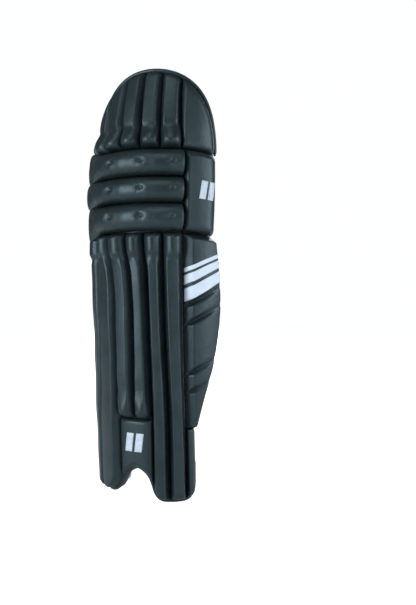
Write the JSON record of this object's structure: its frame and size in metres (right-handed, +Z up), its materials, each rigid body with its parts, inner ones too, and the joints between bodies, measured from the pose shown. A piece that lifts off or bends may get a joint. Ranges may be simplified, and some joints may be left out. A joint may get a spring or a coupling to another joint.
{
  "type": "cricket batting leg pad",
  "caption": "Left-leg cricket batting pad: slatted dark shin guard with padded knee rolls, top hat and side wing, white cushioned lining and rear straps that open.",
  "frame": {"origin": "centre of the bounding box, at the level of the feet the pad stands on", "axes": "+Z up the shin, -Y is the struck front face, +X is the side with the wing"},
  "size_m": [0.225, 0.175, 0.6801],
  "materials": {
    "dark_cover": "soft-grained coated fabric, low sheen",
    "cane_slat": "raw",
    "foam_core": "foam",
    "foam_board": "dense foam",
    "plastic_sheet": "matte",
    "white_mesh_fabric": "fine diagonal spacer mesh",
    "white_lining": "smooth brushed lining",
    "open_mesh": "open mesh",
    "white_stripe": "smooth coated fabric",
    "printed_webbing": "dark webbing with a wavy white print",
    "hook_tape": "hook tape",
    "white_webbing": "woven"
  },
  "bodies": {
    "pad": {"ankle_anchor": "white_webbing", "ankle_tab": "white_webbing", "bolster_left": "white_mesh_fabric", "bolster_right": "white_mesh_fabric", "calf_tab": "white_webbing", "instep_guard": "dark_cover", "instep_mesh": "open_mesh", "knee_anchor": "white_webbing", "knee_cup_centre": "white_lining", "knee_cup_left": "white_mesh_fabric", "knee_cup_right": "white_mesh_fabric", "knee_roll_core_lower": "foam_core", "knee_roll_core_middle": "foam_core", "knee_roll_core_upper": "foam_core", "knee_roll_lower": "dark_cover", "knee_roll_middle": "dark_cover", "knee_roll_upper": "dark_cover", "knee_side_panel": "dark_cover", "knee_tab": "white_webbing", "shin_board": "foam_board", "shin_centre_pad": "white_lining", "shin_channel_1": "dark_cover", "shin_channel_2": "dark_cover", "shin_channel_3": "dark_cover", "shin_channel_4": "dark_cover", "shin_channel_5": "dark_cover", "shin_channel_6": "dark_cover", "shin_edge": "dark_cover", "shin_slat_1": "cane_slat", "shin_slat_2": "cane_slat", "shin_slat_3": "cane_slat", "shin_slat_4": "cane_slat", "shin_slat_5": "cane_slat", "shin_slat_6": "cane_slat", "top_board": "foam_board", "top_channel_1": "dark_cover", "top_channel_2": "dark_cover", "top_channel_3": "dark_cover", "top_channel_4": "dark_cover", "top_channel_5": "dark_cover", "top_lining": "white_lining", "top_piping": "dark_cover", "top_side_panel": "dark_cover", "top_slat_1": "cane_slat", "top_slat_2": "cane_slat", "top_slat_3": "cane_slat", "top_slat_4": "cane_slat", "top_slat_5": "cane_slat"},
    "wing": {"wing_cover": "dark_cover", "wing_sheet": "plastic_sheet", "wing_lining": "white_mesh_fabric", "wing_stripes": "white_stripe", "calf_anchor": "white_webbing"},
    "knee_strap": {"knee_strap": "printed_webbing", "knee_hook": "hook_tape"},
    "calf_strap": {"calf_strap": "printed_webbing", "calf_hook": "hook_tape"},
    "ankle_strap": {"ankle_strap": "printed_webbing", "ankle_hook": "hook_tape"}
  },
  "joints": [
    {"name": "wing_flex", "type": "hinge", "parent": "pad", "child": "wing", "pos_m": [0.07972, -0.03293, 0.2725], "axis": [0.0015, 0.0374, -0.9993], "range_deg": [0, 30], "stiffness_Nm_per_rad": 0.4},
    {"name": "knee_strap_open", "type": "hinge", "parent": "pad", "child": "knee_strap", "pos_m": [0.08007, 0.02612, 0.443], "axis": [0, 0, -1], "range_deg": [0, 80]},
    {"name": "calf_strap_open", "type": "hinge", "parent": "wing", "child": "calf_strap", "pos_m": [0.08774, 0.02963, 0.318], "axis": [0, 0, -1], "range_deg": [0, 80]},
    {"name": "ankle_strap_open", "type": "hinge", "parent": "pad", "child": "ankle_strap", "pos_m": [0.06221, -0.00039, 0.143], "axis": [0, 0, -1], "range_deg": [0, 80]}
  ]
}
